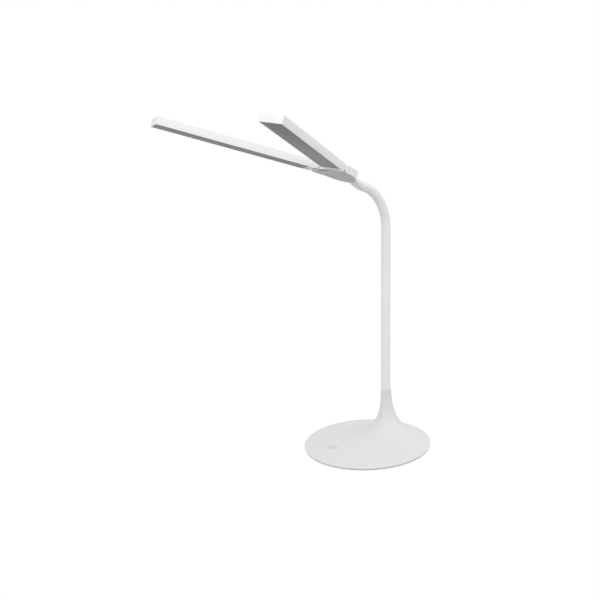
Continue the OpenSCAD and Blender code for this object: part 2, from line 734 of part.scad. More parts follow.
module hub_lid() color(lid_gray) at_hub() difference() {
    intersection() {
        hub_block(lid_rim, hub_lift, lid_top);
        translate([-40, -lid_front, -20]) cube([80, lid_front - hub_rear - 1.5, 40]);
    }
    hub_tail(3 * face_gap);
    translate([0, -lid_screw_out, -20]) cylinder(r = screw_r + 0.1, h = 40);
    translate([0, -lid_screw_out, -20]) cylinder(r = 2, h = 20 + hub_lift + 0.7);
}

module hub_screw() color(steel) at_hub() translate([0, -lid_screw_out, hub_lift + 0.7 - pilot_gap])
    pan_screw(4.6, screw_r, 1.9, 0.6);

module hub_board() color(board_green) at_hub()
    translate([-9, -hub_board_out - 5, hub_board_z]) cube([18, 10, 1]);
hub_board_z = hub_roof - 3 - face_gap;

module hub_leads() color("firebrick") at_hub() for (s = [-1, 1]) {
    rod([s * 0.8, -cable_end - 0.2, 0.9], [s * 4, 5.4 - hub_board_out, hub_board_z + 0.5], lead_r);
    wire([[s * 6, -hub_board_out - 5.4 - wire_r, hub_mid + wire_rise],
        bar_point(s, front_gap + 6), bar_point(s, -2.6)], wire_r);
}
// A point on the wire's line through a hinge, in the hub's frame
function bar_point(s, d) = [s * (pin_side - d * sin(bar_spread)),
    -pin_out + d * cos(bar_spread), hub_mid + wire_rise];

module knuckle(side) color(white) at_bar(side) difference() {
    union() {
        rotate([0, 90, 0]) cylinder(r = knuckle_r, h = 2 * knuckle_half, center = true);
        translate([-knuckle_half, 0, neck_plate_low - hub_mid])
            cube([2 * knuckle_half, front_gap + neck_plate_l, neck_plate_t]);
    }
    rotate([0, 90, 0]) cylinder(r = pin_r + run_gap, h = 60, center = true);
    for (x = [-1, 1]) translate([x * (knuckle_half - 2.6), front_gap + 6, -10])
        cylinder(r = screw_r + 0.15, h = 20);
    translate([0, 6, wire_rise]) rotate([90, 0, 0]) cylinder(r = wire_hole_r, h = 12);
}

module knuckle_screws() color(steel) at_hub() for (s = [-1, 1]) hinge_places(s)
    translate([0, 0, neck_plate_low - hub_mid - face_gap])
        pan_screw(hub_roof - neck_plate_low - face_gap, screw_r, 1.9, 0.9);

// Light bars

module bar_housing(side) color(white) at_bar(side) difference() {
    union() {
        translate([-bar_w / 2, -bar_l, -bar_t / 2]) cube([bar_w, bar_l, bar_t]);
        rotate([0, 90, 0]) cylinder(r = hinge_r, h = bar_w, center = true);
    }
    // Room for the knuckle between the cheeks
    translate([-knuckle_half - free_gap - face_gap, -hinge_r, -bar_t])
        cube([2 * (knuckle_half + free_gap + face_gap), 2 * bar_t, 2 * bar_t]);
    rotate([0, 90, 0]) cylinder(r = pin_r + pilot_gap, h = 60, center = true);
    panel_cut(face_gap);
    translate([-bar_w / 2 + panel_lip + bar_ledge, -bar_l + end_wall + bar_ledge, -bar_t / 2])
        cube([bar_w - 2 * (panel_lip + bar_ledge),
            bar_l - end_wall - bar_ledge - hinge_r - root_wall, bar_t - bar_top]);
    translate([0, 0, wire_rise]) rotate([90, 0, 0]) cylinder(r = wire_hole_r, h = hinge_r + 4);
}

module panel_cut(grow) translate([-bar_w / 2 + panel_lip - grow, -bar_l + end_wall - grow,
    -bar_t / 2 - 1]) cube([bar_w - 2 * panel_lip + 2 * grow,
        bar_l - end_wall - panel_start + 2 * grow, 1 + panel_recess + panel_t + grow]);

module light_panel(side) color(warm_gray) at_bar(side)
    translate([-bar_w / 2 + panel_lip, -bar_l + end_wall, -bar_t / 2 + panel_recess])
    cube([bar_w - 2 * panel_lip, bar_l - end_wall - panel_start, panel_t]);

led_z = bar_t / 2 - bar_top - face_gap - led_board_t;
led_start = hinge_r + root_wall + led_board_gap;
led_end = bar_l - end_wall - bar_ledge - led_board_gap;
module led_board(side) color([0.88, 0.88, 0.86]) at_bar(side)
    translate([-led_board_w / 2, -led_end, led_z])
    cube([led_board_w, led_end - led_start, led_board_t]);

module led_chips(side) color([0.95, 0.88, 0.55]) at_bar(side) {
    pitch = (led_end - led_start) / led_count;
    for (i = [0 : led_count - 1])
        translate([0, -led_start - (i + 0.5) * pitch, led_z - led_size[2] / 2 - 0.01])
            cube(led_size, center = true);
}

module bar_lead(side) color("firebrick") at_bar(side) translate([0, -hinge_r - 0.6, wire_rise])
    rotate([90, 0, 0]) cylinder(r = wire_r, h = led_start - hinge_r - 0.6 - face_gap);

module hinge_pin(side) color(steel) at_bar(side) rotate([0, 90, 0])
    cylinder(r = pin_r, h = bar_w - 0.4, center = true);

module hinge_washers(side) color(steel) at_bar(side) for (x = [-1, 1])
    translate([x * (knuckle_half + free_gap / 2 + face_gap / 2), 0, 0]) rotate([0, 90, 0])
    translate([0, 0, -0.13]) ring(3.4, pin_r + run_gap, 0.26);

base_cover();
base_plate();
foot_pad();
ballast();
base_screws();
touch_symbol();
touch_pad();
touch_lead();
control_board();
board_components();
board_screws();
charging_inlet();
battery_cell();
battery_lead();
stem_collar();
spring_washer();
neck_nut();
lower_ferrule();
neck_core(1);  // neck_core_1
neck_core(2);  // neck_core_2
neck_core(3);  // neck_core_3
neck_core(4);  // neck_core_4
neck_core(5);  // neck_core_5
neck_core(6);  // neck_core_6
neck_core(7);  // neck_core_7
neck_sleeve(0);  // neck_sleeve_0
neck_sleeve(1);  // neck_sleeve_1
neck_sleeve(2);  // neck_sleeve_2
neck_sleeve(3);  // neck_sleeve_3
neck_sleeve(4);  // neck_sleeve_4
neck_sleeve(5);  // neck_sleeve_5
neck_sleeve(6);  // neck_sleeve_6
neck_sleeve(7);  // neck_sleeve_7
neck_sleeve(8);  // neck_sleeve_8
neck_cable();
upper_ferrule();
tail_screw();
hub_shell();
hub_lid();
hub_screw();
hub_board();
hub_leads();
knuckle(-1);  // knuckle_left
knuckle(1);  // knuckle_right
knuckle_screws();
bar_housing(-1);  // bar_housing_left
bar_housing(1);  // bar_housing_right
light_panel(-1);  // light_panel_left
light_panel(1);  // light_panel_right
led_board(-1);  // led_board_left
led_board(1);  // led_board_right
led_chips(-1);  // led_chips_left
led_chips(1);  // led_chips_right
bar_lead(-1);  // bar_lead_left
bar_lead(1);  // bar_lead_right
hinge_pin(-1);  // hinge_pin_left
hinge_pin(1);  // hinge_pin_right
hinge_washers(-1);  // hinge_washers_left
hinge_washers(1);  // hinge_washers_right
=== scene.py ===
# %% [markdown]
# # A folding desk lamp with two light bars
# The imported CAD model gives every size and every joint. Blender gives the lamp its looks. The model is
# loaded first and never moved.

# %% Load the imported lamp
import json
import math
import bpy
from mathutils import Matrix, Vector


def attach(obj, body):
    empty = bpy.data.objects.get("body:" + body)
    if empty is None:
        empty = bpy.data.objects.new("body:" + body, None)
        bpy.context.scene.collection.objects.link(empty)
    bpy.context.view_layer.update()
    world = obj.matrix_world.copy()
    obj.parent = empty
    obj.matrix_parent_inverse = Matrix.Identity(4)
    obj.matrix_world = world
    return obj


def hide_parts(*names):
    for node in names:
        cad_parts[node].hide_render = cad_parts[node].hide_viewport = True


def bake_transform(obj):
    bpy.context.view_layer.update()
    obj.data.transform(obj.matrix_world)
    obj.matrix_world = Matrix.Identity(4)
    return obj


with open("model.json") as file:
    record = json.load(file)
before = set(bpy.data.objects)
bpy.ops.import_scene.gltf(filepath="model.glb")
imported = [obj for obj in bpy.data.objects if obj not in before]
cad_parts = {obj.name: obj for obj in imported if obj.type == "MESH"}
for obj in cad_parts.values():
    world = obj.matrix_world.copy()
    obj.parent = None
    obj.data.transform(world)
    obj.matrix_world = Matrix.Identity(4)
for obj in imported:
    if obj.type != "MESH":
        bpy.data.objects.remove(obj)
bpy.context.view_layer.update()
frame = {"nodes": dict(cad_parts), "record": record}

nodes = frame["nodes"]
scene = bpy.context.scene
mm = 0.001

# %% [markdown]
# ## Camera
# The photo was taken from the lamp's right front, a little above the head. Position, turn and
# focal length come from a fit of the lamp's outline, so the object falls where the photo has it.

# %% Camera of the photo
camera_data = bpy.data.cameras.new("photo_camera")
camera_data.sensor_width = 36
camera_data.lens = 53.583
camera_data.clip_end = 20
camera = bpy.data.objects.new("photo_camera", camera_data)
camera.location = (0.97158, -0.44275, 0.44679)
camera.rotation_euler = [math.radians(a) for a in (76.674, 3.446, 68.667)]
scene.collection.objects.link(camera)
scene.camera = camera

# %% [markdown]
# ## Light
# A product photo has a bright tent round the object. Its cloth is the world's even glow. A large
# soft lamp hangs above, a stronger one stands beside the camera and a weaker one to the right, so
# that forms still turn from light to dark. Pure white is only what the camera and reflections see.

# %% World and lamps
world = bpy.data.worlds.new("white_tent")
scene.world = world
world.use_nodes = True
w = world.node_tree
w.nodes.clear()
out = w.nodes.new("ShaderNodeOutputWorld")
mix = w.nodes.new("ShaderNodeMixShader")
glow = w.nodes.new("ShaderNodeBackground")
seen = w.nodes.new("ShaderNodeBackground")
rays = w.nodes.new("ShaderNodeLightPath")
add_1 = w.nodes.new("ShaderNodeMath")
add_2 = w.nodes.new("ShaderNodeMath")
add_1.operation = add_2.operation = "MAXIMUM"
glow.inputs["Color"].default_value = (1, 1, 1, 1)
glow.inputs["Strength"].default_value = 0.72
seen.inputs["Color"].default_value = (1, 1, 1, 1)
seen.inputs["Strength"].default_value = 1.0
w.links.new(rays.outputs["Is Camera Ray"], add_1.inputs[0])
w.links.new(rays.outputs["Is Glossy Ray"], add_1.inputs[1])
w.links.new(add_1.outputs[0], add_2.inputs[0])
w.links.new(rays.outputs["Is Transmission Ray"], add_2.inputs[1])
w.links.new(add_2.outputs[0], mix.inputs["Fac"])
w.links.new(glow.outputs[0], mix.inputs[1])
w.links.new(seen.outputs[0], mix.inputs[2])
w.links.new(mix.outputs[0], out.inputs["Surface"])


def soft_lamp(name, place, aim, size, watts):
    data = bpy.data.lights.new(name, "AREA")
    data.shape = "RECTANGLE"
    data.size, data.size_y = size
    data.energy = watts
    lamp = bpy.data.objects.new(name, data)
    lamp.location = place
    lamp.rotation_euler = (Vector(aim) - Vector(place)).to_track_quat("-Z", "Y").to_euler()
    scene.collection.objects.link(lamp)


soft_lamp("lamp_above", (0.2, 0.0, 4.0), (0, 0, 0.2), (3.5, 3.5), 24)
soft_lamp("lamp_right", (0.6, 1.3, 0.8), (0, 0, 0.25), (1.2, 1.2), 5)
soft_lamp("lamp_front", (1.2, -1.1, 1.1), (0, 0, 0.35), (1.2, 1.2), 11)

# %% [markdown]
# ## Small helpers
# Operators act on whatever is selected, and a freshly loaded model is selected all over. So each
# step starts with nothing selected. Pieces are modelled in the plain frame of what carries them
# (neck, hub or bar) and then put in place, with the place applied to the mesh.

# %% Selection and placing


def clear():
    if bpy.context.object and bpy.context.object.mode == "EDIT":
        bpy.ops.object.mode_set(mode="OBJECT")
    bpy.ops.object.select_all(action="DESELECT")


def take(obj):
    clear()
    obj.select_set(True)
    bpy.context.view_layer.objects.active = obj


def named(name):
    obj = bpy.context.object
    obj.name = obj.data.name = name
    return obj


def edit(mode="VERT"):
    bpy.ops.object.mode_set(mode="EDIT")
    bpy.ops.mesh.select_mode(type=mode)


def done():
    bpy.ops.object.mode_set(mode="OBJECT")


def put(obj, place):
    take(obj)
    obj.matrix_world = place @ obj.matrix_world
    bpy.ops.object.transform_apply(location=True, rotation=True, scale=True)


def block(name, low, high):
    """A block between two corners, in millimetres."""
    clear()
    middle = [(a + b) / 2 * mm for a, b in zip(low, high)]
    bpy.ops.mesh.primitive_cube_add(size=1, location=middle)
    obj = named(name)
    obj.scale = [(b - a) * mm for a, b in zip(low, high)]
    bpy.ops.object.transform_apply(location=True, rotation=True, scale=True)
    return obj


def outward(obj):
    take(obj)
    edit()
    bpy.ops.mesh.select_all(action="SELECT")
    bpy.ops.mesh.remove_doubles(threshold=0.000001)
    bpy.ops.mesh.normals_make_consistent(inside=False)
    done()


def smooth(obj, angle=35):
    take(obj)
    bpy.ops.object.shade_smooth_by_angle(angle=math.radians(angle))


def cut(obj, tool, how="DIFFERENCE"):
    take(obj)
    m = obj.modifiers.new("cut", "BOOLEAN")
    m.operation = how
    m.solver = "EXACT"
    m.object = tool
    bpy.ops.object.modifier_apply(modifier=m.name)
    bpy.data.objects.remove(tool, do_unlink=True)


def pick_edges(obj, test):
    """Selects the edges whose two ends pass a test, in object mode, and counts them."""
    v = obj.data.vertices
    for p in obj.data.polygons:
        p.select = False
    for x in v:
        x.select = False
    count = 0
    for e in obj.data.edges:
        a, b = v[e.vertices[0]].co, v[e.vertices[1]].co
        e.select = test(a, b)
        count += e.select
    return count


def bevel_picked(obj, test, width, steps):
    take(obj)
    edit("EDGE")
    bpy.ops.mesh.select_all(action="DESELECT")
    done()
    count = pick_edges(obj, test)
    edit("EDGE")
    bpy.ops.mesh.bevel(offset=width, segments=steps, profile=0.5, affect="EDGES", clamp_overlap=True)
    done()
    return count


# %% [markdown]
# The frames repeat the named sizes of the CAD source. The neck stands in the stem behind the
# middle of the base, leans back a little and then bends forward into the head. A place on it is
# given by its distance forward of the stem's axis, its height, and its heading from upright.

# %% Frames of the neck, the hub and the bars
stem_back, stem_h, collar_t, gap = 29.5, 70.8, 1.0, 0.05
head_turn, lean, head_tilt = 23.0, 3.5, 68.9
foot_l, straight_l, lean_r, bend_r = 2.0, 193.6, 120.0, 54.3
lean_steps, straight_steps, bend_steps = 6, 78, 50
neck_z = stem_h + collar_t + gap
pin_out, pin_side, hub_lift, bar_t, bar_spread = 76.4, 17.0, 1.0, 9.0, 23.9


def path():
    """Points along the neck's axis: (forward, height, heading, length so far)."""
    pts = [(0.0, neck_z, 0.0, 0.0)]

    def go(step, turn):
        f, z, h, s = pts[-1]
        mid = math.radians(h + turn / 2)
        chord = step if turn == 0 else 2 * (step / math.radians(turn)) * math.sin(math.radians(turn) / 2)
        pts.append((f + chord * math.sin(mid), z + chord * math.cos(mid), h + turn, s + step))

    go(foot_l, 0)
    for i in range(lean_steps):
        go(lean_r * math.radians(lean) / lean_steps, -lean / lean_steps)
    for i in range(straight_steps):
        go(straight_l / straight_steps, 0)
    bend = head_tilt + lean
    for i in range(bend_steps):
        go(bend_r * math.radians(bend) / bend_steps, bend / bend_steps)
    return pts


neck_path = path()
at_neck = Matrix.Translation((0, stem_back * mm, 0)) @ Matrix.Rotation(math.radians(head_turn), 4, "Z")
end_f, end_z, end_h, neck_l = neck_path[-1]
at_hub = (at_neck @ Matrix.Translation((0, -end_f * mm, end_z * mm))
          @ Matrix.Rotation(math.radians(end_h - 90), 4, "X"))


def at_bar(side):
    return (at_hub @ Matrix.Translation((side * pin_side * mm, -pin_out * mm, (hub_lift + bar_t / 2) * mm))
            @ Matrix.Rotation(math.radians(side * bar_spread), 4, "Z"))


print("neck length", round(neck_l, 1), "mm, ends", round(end_f, 2), round(end_z, 2), "mm")

# %% [markdown]
# ## Finishes
# Moulded plastic is never one flat colour: it has a fine grain from the mould, and faint uneven
# patches where the gloss changes. Metal has fine turned or brushed lines. These effects are
# shared, so each is a node group, placed in every finish with its own values.

# %% Shared effects


def group(name, inputs, outputs):
    g = bpy.data.node_groups.new(name, "ShaderNodeTree")
    for n, v in inputs:
        s = g.interface.new_socket(name=n, in_out="INPUT", socket_type="NodeSocketFloat")
        s.default_value = v
    for n in outputs:
        g.interface.new_socket(name=n, in_out="OUTPUT", socket_type="NodeSocketFloat")
    return g, g.nodes.new("NodeGroupInput"), g.nodes.new("NodeGroupOutput")


def noise(g, coords, scale_socket, detail, rough=0.5):
    n = g.nodes.new("ShaderNodeTexNoise")
    n.inputs["Detail"].default_value = detail
    n.inputs["Roughness"].default_value = rough
    g.links.new(coords, n.inputs["Vector"])
    g.links.new(scale_socket, n.inputs["Scale"])
    return n.outputs["Fac"]


def remap(g, value, low, high, to_low, to_high):
    m = g.nodes.new("ShaderNodeMapRange")
    g.links.new(value, m.inputs["Value"])
    for name, v in (("From Min", low), ("From Max", high), ("To Min", to_low), ("To Max", to_high)):
        if isinstance(v, (int, float)):
            m.inputs[name].default_value = v
        else:
            g.links.new(v, m.inputs[name])
    return m.outputs["Result"]


grain, g_in, g_out = group("mould_grain", [("Grain Scale", 2200), ("Patch Scale", 18),
                                           ("Rough Low", 0.35), ("Rough High", 0.45)],
                           ["Height", "Roughness", "Patch"])
g_xyz = grain.nodes.new("ShaderNodeTexCoord").outputs["Object"]
fine = noise(grain, g_xyz, g_in.outputs["Grain Scale"], 2)
patch = noise(grain, g_xyz, g_in.outputs["Patch Scale"], 5, 0.6)
spread = remap(grain, patch, 0.35, 0.65, 0.0, 1.0)
grain.links.new(fine, g_out.inputs["Height"])
grain.links.new(remap(grain, spread, 0.0, 1.0, g_in.outputs["Rough Low"], g_in.outputs["Rough High"]),
                g_out.inputs["Roughness"])
grain.links.new(spread, g_out.inputs["Patch"])

lines, l_in, l_out = group("turned_lines", [("Line Scale", 900), ("Stretch", 0.02),
                                            ("Rough Low", 0.22), ("Rough High", 0.42)],
                           ["Height", "Roughness", "Patch"])
l_xyz = lines.nodes.new("ShaderNodeTexCoord").outputs["Object"]
squeeze = lines.nodes.new("ShaderNodeVectorMath")
squeeze.operation = "MULTIPLY"
pack = lines.nodes.new("ShaderNodeCombineXYZ")
pack.inputs["Z"].default_value = 1.0
lines.links.new(l_in.outputs["Stretch"], pack.inputs["X"])
lines.links.new(l_in.outputs["Stretch"], pack.inputs["Y"])
lines.links.new(l_xyz, squeeze.inputs[0])
lines.links.new(pack.outputs[0], squeeze.inputs[1])
streak = noise(lines, squeeze.outputs[0], l_in.outputs["Line Scale"], 3)
lines.links.new(streak, l_out.inputs["Height"])
lines.links.new(remap(lines, streak, 0.3, 0.7, l_in.outputs["Rough Low"], l_in.outputs["Rough High"]),
                l_out.inputs["Roughness"])
lines.links.new(streak, l_out.inputs["Patch"])

# %% [markdown]
# A finish is a Principled shader whose colour, gloss and relief come from one of those groups.
# Values that are the same all over stay on the shader's own sockets.

# %% Finishes


def finish(name, colour, darker, effect=grain, values=(), metallic=0.0, depth=0.00001, coat=0.0):
    m = bpy.data.materials.new(name)
    m.use_nodes = True
    t = m.node_tree
    shader = t.nodes["Principled BSDF"]
    fx = t.nodes.new("ShaderNodeGroup")
    fx.node_tree = effect
    for key, value in values:
        fx.inputs[key].default_value = value
    blend = t.nodes.new("ShaderNodeMix")
    blend.data_type = "RGBA"
    blend.inputs["A"].default_value = (*darker, 1)
    blend.inputs["B"].default_value = (*colour, 1)
    t.links.new(fx.outputs["Patch"], blend.inputs["Factor"])
    t.links.new(blend.outputs["Result"], shader.inputs["Base Color"])
    t.links.new(fx.outputs["Roughness"], shader.inputs["Roughness"])
    bump = t.nodes.new("ShaderNodeBump")
    bump.inputs["Strength"].default_value = 1.0
    bump.inputs["Distance"].default_value = depth
    t.links.new(fx.outputs["Height"], bump.inputs["Height"])
    t.links.new(bump.outputs["Normal"], shader.inputs["Normal"])
    shader.inputs["Metallic"].default_value = metallic
    shader.inputs["Coat Weight"].default_value = coat
    return m


F = {
    "white_shell": finish("white_shell", (0.86, 0.86, 0.855), (0.84, 0.84, 0.835), depth=0.000001,
                          values=[("Rough Low", 0.34), ("Rough High", 0.42)]),
    # white_base is the same white plastic as white_shell in a darker copy; the difference is painted shade
    # on the base cover.
    "white_base": finish("white_base", (0.72, 0.72, 0.72), (0.7, 0.7, 0.7), depth=0.000002,
                         values=[("Rough Low", 0.42), ("Rough High", 0.5)]),
    "white_hinge": finish("white_hinge", (0.72, 0.72, 0.71), (0.69, 0.69, 0.68)),
    "white_sleeve": finish("white_sleeve", (0.84, 0.84, 0.83), (0.82, 0.82, 0.81),
                           values=[("Grain Scale", 3000), ("Rough Low", 0.6), ("Rough High", 0.7)],
                           depth=0.000001),
    "white_steel": finish("white_steel", (0.7, 0.7, 0.7), (0.66, 0.66, 0.66), coat=0.2),
    "foam": finish("foam", (0.05, 0.05, 0.055), (0.03, 0.03, 0.032),
                   values=[("Grain Scale", 900), ("Rough Low", 0.8), ("Rough High", 0.95)], depth=0.00012),
    "cast_weight": finish("cast_weight", (0.11, 0.11, 0.115), (0.07, 0.07, 0.07),
                          values=[("Grain Scale", 700), ("Rough Low", 0.6), ("Rough High", 0.8)],
                          metallic=0.7, depth=0.0001),
    "steel": finish("steel", (0.62, 0.63, 0.65), (0.5, 0.51, 0.53), lines, metallic=1.0, depth=0.000004),
    "core_steel": finish("core_steel", (0.4, 0.41, 0.43), (0.3, 0.31, 0.33), lines, metallic=1.0,
                         depth=0.000004),
    "symbol_gray": finish("symbol_gray", (0.3, 0.3, 0.31), (0.27, 0.27, 0.28),
                          values=[("Rough Low", 0.45), ("Rough High", 0.55)]),
    "copper_foil": finish("copper_foil", (0.75, 0.4, 0.25), (0.6, 0.3, 0.18), lines, metallic=1.0),
    "wire_yellow": finish("wire_yellow", (0.7, 0.5, 0.05), (0.6, 0.42, 0.04)),
    "wire_red": finish("wire_red", (0.5, 0.03, 0.02), (0.4, 0.02, 0.02)),
    "board_green": finish("board_green", (0.02, 0.16, 0.07), (0.015, 0.1, 0.05), coat=0.5,
                          values=[("Patch Scale", 400), ("Rough Low", 0.25), ("Rough High", 0.4)]),
    "chip_black": finish("chip_black", (0.02, 0.02, 0.022), (0.012, 0.012, 0.013)),
    "cell_foil": finish("cell_foil", (0.6, 0.61, 0.63), (0.5, 0.51, 0.53), metallic=0.9,
                        values=[("Grain Scale", 600), ("Rough Low", 0.3), ("Rough High", 0.45)],
                        depth=0.00006),
    "nut_brass": finish("nut_brass", (0.75, 0.55, 0.22), (0.6, 0.42, 0.15), lines, metallic=1.0),
    "cable_gray": finish("cable_gray", (0.04, 0.04, 0.042), (0.03, 0.03, 0.031)),
    # lid_gray is painted shade: the hub's lid is white plastic, and its gray stands in for the shade under
    # the hub.
    "lid_gray": finish("lid_gray", (0.52, 0.53, 0.53), (0.5, 0.51, 0.51), depth=0.000002,
                       values=[("Rough Low", 0.5), ("Rough High", 0.6)]),
    # panel_gray is partly the diffuser's own dark tint and partly painted shade under the bar.
    "panel_gray": finish("panel_gray", (0.17, 0.17, 0.165), (0.16, 0.16, 0.155), depth=0.000001,
                         values=[("Grain Scale", 4000), ("Rough Low", 0.42), ("Rough High", 0.5)]),
    "board_white": finish("board_white", (0.75, 0.75, 0.72), (0.7, 0.7, 0.68), coat=0.3),
    "led_yellow": finish("led_yellow", (0.85, 0.7, 0.2), (0.8, 0.62, 0.15)),
}
slot_of = {s["node"]: s["material_slot"] for s in frame["record"]["subparts"]}


def dress(obj, slot, paint=None):
    obj.data.materials.clear()
    obj.data.materials.append(F[paint or slot])


for node_name, node in nodes.items():
    material = F[slot_of[node_name]]
    if node.data.materials:
        for i in range(len(node.data.materials)):
            node.data.materials[i] = material
    else:
        node.data.materials.append(material)
print("finishes:", len(F))

# %% [markdown]
# ## Floor
# The photo has a pure white ground. The floor is near white for the camera and keeps a little of
# the lamp's shadow, so the base still sits on something.

# %% Floor
clear()
bpy.ops.mesh.primitive_plane_add(size=40, location=(0, 0, -0.0002))
floor = named("floor")
ground = bpy.data.materials.new("white_ground")
ground.use_nodes = True
t = ground.node_tree
plain = t.nodes["Principled BSDF"]
plain.inputs["Base Color"].default_value = (0.5, 0.5, 0.5, 1)
plain.inputs["Roughness"].default_value = 0.9
lit = t.nodes.new("ShaderNodeEmission")
lit.inputs["Strength"].default_value = 1.025
mixed = t.nodes.new("ShaderNodeMixShader")
path_node = t.nodes.new("ShaderNodeLightPath")
weight = t.nodes.new("ShaderNodeMath")
weight.operation = "MULTIPLY"
weight.inputs[1].default_value = 0.96
most = t.nodes.new("ShaderNodeMath")
most.operation = "MAXIMUM"
t.links.new(path_node.outputs["Is Camera Ray"], most.inputs[0])
t.links.new(path_node.outputs["Is Glossy Ray"], most.inputs[1])
t.links.new(most.outputs[0], weight.inputs[0])
t.links.new(weight.outputs[0], mixed.inputs["Fac"])
t.links.new(plain.outputs[0], mixed.inputs[1])
t.links.new(lit.outputs[0], mixed.inputs[2])
t.links.new(mixed.outputs[0], t.nodes["Material Output"].inputs["Surface"])
floor.data.materials.append(ground)

# %% [markdown]
# ## Base cover
# On the real lamp the disc, the flare and the stem are one thin moulding. It could be turned with
# Spin, but the rings don't share one axis: the rim is centred on the base and the stem stands
# behind it. So the outline starts as one circle at the rim, which is extruded ring by ring, each
# ring moved and scaled to its own middle, up the outside, over the top and down the inside.

# %% Rings of the base cover
base_r, rim_h, rim_gap, rim_round, rim_tuck, wall = 80.0, 4.0, 0.5, 1.0, 1.1, 1.6
stem_r, flare_drop, flare_reach, rim_slope, flare_shift = 6.5, 49.5, 57.5, 0.115, 2.3
plate_top, bore_r, web_z, web_t, shank_r = 1.8, 5.22, 46.8, 4.0, 4.0
rim_draft, rim_start, top_round, top_side, top_low = 0.06, 0.09, 0.25, 0.08, 0.07
outer_rings, inner_rings, inner_from = 44, 25, 0.19
flare_end_r = base_r - rim_round
curve = [(stem_r, stem_h), (stem_r + 0.3, stem_h - flare_drop),
         (base_r - flare_reach, rim_h + rim_slope * flare_reach), (flare_end_r, rim_h)]


def flare(s):
    k = ((1 - s) ** 3, 3 * (1 - s) ** 2 * s, 3 * (1 - s) * s * s, s ** 3)
    return Vector([sum(a * p[i] for a, p in zip(k, curve)) for i in (0, 1)])


def inner(s):
    d = flare(min(1, s + 0.01)) - flare(max(0, s - 0.01))
    return flare(s) + wall * Vector((d[1], -d[0])).normalized()


def ring_y(r):
    return stem_back * (1 - (max(0, r - stem_r) / (flare_end_r - stem_r)) ** flare_shift)


rings = [(base_r - rim_tuck, rim_gap, 0.0), (base_r - rim_draft, rim_h - rim_round - rim_start, 0.0)]
rings += [(flare_end_r + rim_round * math.cos(math.radians(a)),
           rim_h - rim_round + rim_round * math.sin(math.radians(a)), 0.0) for a in (0, 20, 40, 60, 78)]
for i in range(outer_rings):
    r, z = flare(1 - i / outer_rings)
    rings.append((r, z, ring_y(r)))
rings += [(r, z, stem_back) for r, z in (
    (stem_r, stem_h - top_round), (stem_r - top_side, stem_h - top_low), (stem_r - top_round, stem_h),
    (bore_r, stem_h), (bore_r, web_z + web_t), (shank_r, web_z + web_t), (shank_r, web_z))]
for i in range(inner_rings):
    s = inner_from + (1 - inner_from) * i / (inner_rings - 1)
    p = inner(s)
    rings.append((p[0], max(p[1], plate_top + gap), ring_y(flare(s)[0])))
rings += [(base_r - wall, plate_top + gap, 0.0), (base_r - wall, rim_gap, 0.0)]

clear()
r0, z0, y0 = rings[0]
bpy.ops.mesh.primitive_circle_add(vertices=96, radius=r0 * mm, fill_type="NOTHING",
                                  location=(0, y0 * mm, z0 * mm))
cover = named("base_shell")
bpy.ops.object.transform_apply(location=True, rotation=True, scale=True)
edit()
bpy.ops.mesh.select_all(action="SELECT")
for r1, z1, y1 in rings[1:]:
    move = (0, (y1 - y0) * mm, (z1 - z0) * mm)
    bpy.ops.mesh.extrude_region_move(TRANSFORM_OT_translate={"value": move})
    bpy.ops.transform.resize(value=(r1 / r0, r1 / r0, 1), center_override=(0, y1 * mm, z1 * mm))
    r0, z0, y0 = r1, z1, y1
bpy.ops.mesh.select_all(action="DESELECT")
done()
edges_at_end = pick_edges(cover, lambda a, b: max(a.z, b.z) < rim_gap * mm + 1e-6)
edit("EDGE")
bpy.ops.mesh.bridge_edge_loops()
done()
outward(cover)
print("base cover: rings", len(rings), "rim edges", edges_at_end)
print("box", [round(x, 4) for x in cover.dimensions])

# %% [markdown]
# Inside the cover stand the screw bosses, the posts of the board and, at the rear left, a block with
# a groove where the body of a charging plug lies. The bosses are plain cylinders that end in the
# skin. The top of the block follows the skin, so it starts as a grid whose rows are lowered to the
# skin's height and pulled down to the plate.

# %% Bosses, posts and the plug's groove
inlet_turn, inlet_out, plug_w, plug_h, inlet_h = 60.0, 40.06, 12.4, 6.5, 3.2
inlet_z = plate_top + 2.4
boss_ring, boss_y, boss_r, pilot_r, boss_skin, pilot_h = 36, 20, 3.2, 1.12, 0.65, 6.5
post_x, post_out, post_r, post_h, post_pilot_h = 8.4, 20, 2.2, 12, 5
block_side, block_wall, block_reach, block_skin, block_rows = 3.6, 1.8, 19, 0.6, 5
groove_l, groove_h, mouth_w, mouth_h, mouth_from, mouth_to = 30, 20, 9.5, 3.8, 2.4, 0.6
at_inlet = Matrix.Translation((0, stem_back * mm, 0)) @ Matrix.Rotation(math.radians(inlet_turn), 4, "Z")


def skin_at(x, y):
    """Height of the top surface over a point of the base, in millimetres."""
    low, high = 0.0, 1.0
    for i in range(30):
        s = (low + high) / 2
        p = flare(s)
        if math.hypot(x, y - ring_y(p[0])) > p[0]:
            low = s
        else:
            high = s
    return flare(low)[1]


def peg(name, x, y, radius, low, high, sides=32):
    """A short cylinder between two heights, in millimetres."""
    clear()
    bpy.ops.mesh.primitive_cylinder_add(vertices=sides, radius=radius * mm, depth=(high - low) * mm,
                                        location=(x * mm, y * mm, (low + high) / 2 * mm))
    return named(name)


for a in (-25, 45, 100, 205):
    x = boss_ring * math.cos(math.radians(a))
    y = boss_y + boss_ring * math.sin(math.radians(a))
    low_skin = min(skin_at(x + boss_r * math.cos(k * math.pi / 4), y + boss_r * math.sin(k * math.pi / 4))
                   for k in range(8))
    cut(cover, peg("boss", x, y, boss_r, plate_top + gap, low_skin - boss_skin), "UNION")
    cut(cover, peg("boss_hole", x, y, pilot_r, 0, pilot_h))
for x in (-post_x, post_x):
    q = at_inlet @ Vector((x * mm, post_out * mm, 0)) / mm
    cut(cover, peg("post", q.x, q.y, post_r, inlet_z, inlet_z + post_h), "UNION")
    cut(cover, peg("post_hole", q.x, q.y, pilot_r, 0, inlet_z + post_pilot_h))

